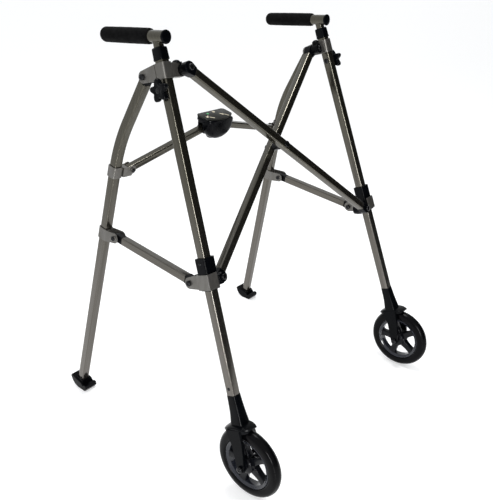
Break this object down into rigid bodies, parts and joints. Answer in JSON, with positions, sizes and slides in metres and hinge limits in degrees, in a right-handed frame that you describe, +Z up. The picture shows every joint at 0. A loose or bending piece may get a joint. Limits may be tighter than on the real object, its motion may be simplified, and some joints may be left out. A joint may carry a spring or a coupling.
{
  "type": "folding walking frame",
  "caption": "Folding walking frame with two side frames, a front X of bars, a rear brace with a centre release hub, two front wheels, rear glides and height-adjustable foam grips.",
  "frame": {"origin": "on the floor, at the middle of the footprint box", "axes": "+Z up; -Y is the front, where the wheels are; +Y is the back, where the user stands and the grips point; +X is the user's left"},
  "size_m": [0.6672, 0.6257, 0.8487],
  "materials": {
    "bronze_tube": "satin bronze-grey anodised or painted tube",
    "bronze_sheet": "satin bronze-grey painted sheet steel",
    "black_plastic": "fine-textured black moulded nylon",
    "black_foam": "matte closed-cell foam with a skin",
    "tyre_rubber": "smooth satin black tyre",
    "grey_black_rim": "satin dark grey moulded rim",
    "olive_plate": "dark olive moulded top plate",
    "black_steel": "black zinc-plated steel"
  },
  "bodies": {
    "right_side": {"front_leg_right": "bronze_tube", "top_collar_right": "black_plastic", "top_bracket_right": "bronze_sheet", "top_joint_block_right": "black_plastic", "rear_pivot_bolt_right": "black_plastic", "wheel_fork_right": "black_plastic", "axle_right": "black_steel"},
    "handle_right": {"handle_frame_right": "bronze_tube", "handle_cap_right": "black_plastic", "handle_grip_right": "black_foam"},
    "knob_right": {"star_knob_right": "black_plastic"},
    "rear_leg_right": {"rear_leg_right": "bronze_tube", "rear_leg_plug_right": "black_plastic", "side_clamp_right": "bronze_sheet", "arm_clamp_right": "bronze_sheet", "foot_glide_right": "black_plastic"},
    "slider_right": {"slider_sleeve_right": "black_plastic", "slider_bracket_right": "bronze_sheet", "side_link_pin_right": "black_plastic"},
    "side_link_right": {"side_link_right": "bronze_tube", "side_link_front_plug_right": "black_plastic", "side_link_rear_plug_right": "black_plastic"},
    "brace_right": {"brace_arm_right": "bronze_tube"},
    "wheel_right": {"wheel_rim_right": "grey_black_rim", "tyre_right": "tyre_rubber"},
    "left_side": {"front_leg_left": "bronze_tube", "top_collar_left": "black_plastic", "top_bracket_left": "bronze_sheet", "top_joint_block_left": "black_plastic", "rear_pivot_bolt_left": "black_plastic", "wheel_fork_left": "black_plastic", "axle_left": "black_steel"},
    "handle_left": {"handle_frame_left": "bronze_tube", "handle_cap_left": "black_plastic", "handle_grip_left": "black_foam"},
    "knob_left": {"star_knob_left": "black_plastic"},
    "rear_leg_left": {"rear_leg_left": "bronze_tube", "rear_leg_plug_left": "black_plastic", "side_clamp_left": "bronze_sheet", "arm_clamp_left": "bronze_sheet", "foot_glide_left": "black_plastic"},
    "slider_left": {"slider_sleeve_left": "black_plastic", "slider_bracket_left": "bronze_sheet", "side_link_pin_left": "black_plastic"},
    "side_link_left": {"side_link_left": "bronze_tube", "side_link_front_plug_left": "black_plastic", "side_link_rear_plug_left": "black_plastic"},
    "brace_left": {"brace_arm_left": "bronze_tube"},
    "wheel_left": {"wheel_rim_left": "grey_black_rim", "tyre_left": "tyre_rubber"},
    "cross_bar_front": {"cross_bar_front": "bronze_tube", "cross_bar_front_top_end": "black_plastic", "cross_bar_front_foot_end": "black_plastic", "cross_pivot": "black_plastic"},
    "cross_bar_rear": {"cross_bar_rear": "bronze_tube", "cross_bar_rear_top_end": "black_plastic", "cross_bar_rear_foot_end": "black_plastic"},
    "hub": {"hub_housing": "black_plastic", "hub_top_plate": "olive_plate"},
    "release_button": {"release_button": "black_plastic"}
  },
  "joints": [
    {"name": "fold", "type": "hinge", "parent": "right_side", "child": "cross_bar_front", "pos_m": [-0.21539, 0.02311, 0.7748], "axis": [0, 0.9383, -0.3459], "range_deg": [0, 31]},
    {"name": "cross_bar_rear_turn", "type": "hinge", "parent": "cross_bar_front", "child": "cross_bar_rear", "pos_m": [0, -0.03986, 0.60402], "axis": [0, 0.9383, -0.3459], "range_deg": [-56.5, 0]},
    {"name": "left_side_turn", "type": "hinge", "parent": "cross_bar_rear", "child": "left_side", "pos_m": [0.21539, 0.02311, 0.7748], "axis": [0, 0.9383, -0.3459], "range_deg": [0, 31.1]},
    {"name": "slider_right_turn", "type": "hinge", "parent": "cross_bar_rear", "child": "slider_right", "pos_m": [-0.24242, -0.11073, 0.4118], "axis": [0, 0.9383, -0.3459], "range_deg": [0, 25.5]},
    {"name": "slider_left_turn", "type": "hinge", "parent": "cross_bar_front", "child": "slider_left", "pos_m": [0.24242, -0.11073, 0.4118], "axis": [0, 0.9383, -0.3459], "range_deg": [-25.5, 0]},
    {"name": "rear_leg_right_turn", "type": "hinge", "parent": "right_side", "child": "rear_leg_right", "pos_m": [-0.25506, 0.0679, 0.7625], "axis": [-0.9975, 0, 0.0707], "range_deg": [0, 22.3]},
    {"name": "side_link_right_turn", "type": "hinge", "parent": "slider_right", "child": "side_link_right", "pos_m": [-0.28069, -0.0691, 0.401], "axis": [-0.9975, 0, 0.0707], "range_deg": [-45.4, 0]},
    {"name": "brace_right_turn", "type": "hinge", "parent": "rear_leg_right", "child": "brace_right", "pos_m": [-0.235, 0.15655, 0.566], "axis": [0, -0.975, -0.2222], "range_deg": [0, 53.9]},
    {"name": "rear_leg_left_turn", "type": "hinge", "parent": "left_side", "child": "rear_leg_left", "pos_m": [0.25506, 0.0679, 0.7625], "axis": [-0.9975, 0, -0.0707], "range_deg": [0, 22.3]},
    {"name": "side_link_left_turn", "type": "hinge", "parent": "slider_left", "child": "side_link_left", "pos_m": [0.28069, -0.0691, 0.401], "axis": [-0.9975, 0, -0.0707], "range_deg": [-45.4, 0]},
    {"name": "brace_left_turn", "type": "hinge", "parent": "rear_leg_left", "child": "brace_left", "pos_m": [0.235, 0.15655, 0.566], "axis": [0, 0.975, 0.2222], "range_deg": [0, 53.9]},
    {"name": "hub_turn", "type": "hinge", "parent": "brace_right", "child": "hub", "pos_m": [-0.036, 0.14626, 0.61283], "axis": [0, -0.975, -0.2222], "range_deg": [-56.7, 0]},
    {"name": "handle_right_slide", "type": "slide", "parent": "right_side", "child": "handle_right", "axis": [0.0664, 0.3452, 0.9362], "range_m": [0, 0.1]},
    {"name": "star_knob_right_turn", "type": "hinge", "parent": "right_side", "child": "knob_right", "pos_m": [-0.25616, 0.01286, 0.747], "axis": [-0.9975, 0, 0.0707], "range_deg": [-360, 360]},
    {"name": "wheel_right_spin", "type": "hinge", "parent": "right_side", "child": "wheel_right", "pos_m": [-0.3021, -0.2378, 0.075], "axis": [1, 0, 0], "continuous": true},
    {"name": "handle_left_slide", "type": "slide", "parent": "left_side", "child": "handle_left", "axis": [-0.0664, 0.3452, 0.9362], "range_m": [0, 0.1]},
    {"name": "star_knob_left_turn", "type": "hinge", "parent": "left_side", "child": "knob_left", "pos_m": [0.25616, 0.01286, 0.747], "axis": [0.9975, 0, 0.0707], "range_deg": [-360, 360]},
    {"name": "wheel_left_spin", "type": "hinge", "parent": "left_side", "child": "wheel_left", "pos_m": [0.3021, -0.2378, 0.075], "axis": [1, 0, 0], "continuous": true},
    {"name": "release_button_press", "type": "slide", "parent": "hub", "child": "release_button", "axis": [0, -0.2146, 0.9767], "range_m": [0, 0.004], "stiffness_N_per_m": 900}
  ],
  "couplings": [
    {"joint": "cross_bar_rear_turn", "follows": "fold", "ratio": -1.8203},
    {"joint": "left_side_turn", "follows": "fold", "ratio": 0.9996},
    {"joint": "slider_right_turn", "follows": "fold", "ratio": 0.8203},
    {"joint": "slider_left_turn", "follows": "fold", "ratio": -0.8207},
    {"joint": "rear_leg_right_turn", "follows": "fold", "ratio": 0.7148},
    {"joint": "side_link_right_turn", "follows": "fold", "ratio": -1.4621},
    {"joint": "brace_right_turn", "follows": "fold", "ratio": 1.7366},
    {"joint": "rear_leg_left_turn", "follows": "fold", "ratio": 0.7148},
    {"joint": "side_link_left_turn", "follows": "fold", "ratio": -1.4621},
    {"joint": "brace_left_turn", "follows": "fold", "ratio": 1.7366},
    {"joint": "hub_turn", "follows": "fold", "ratio": -1.8263}
  ]
}
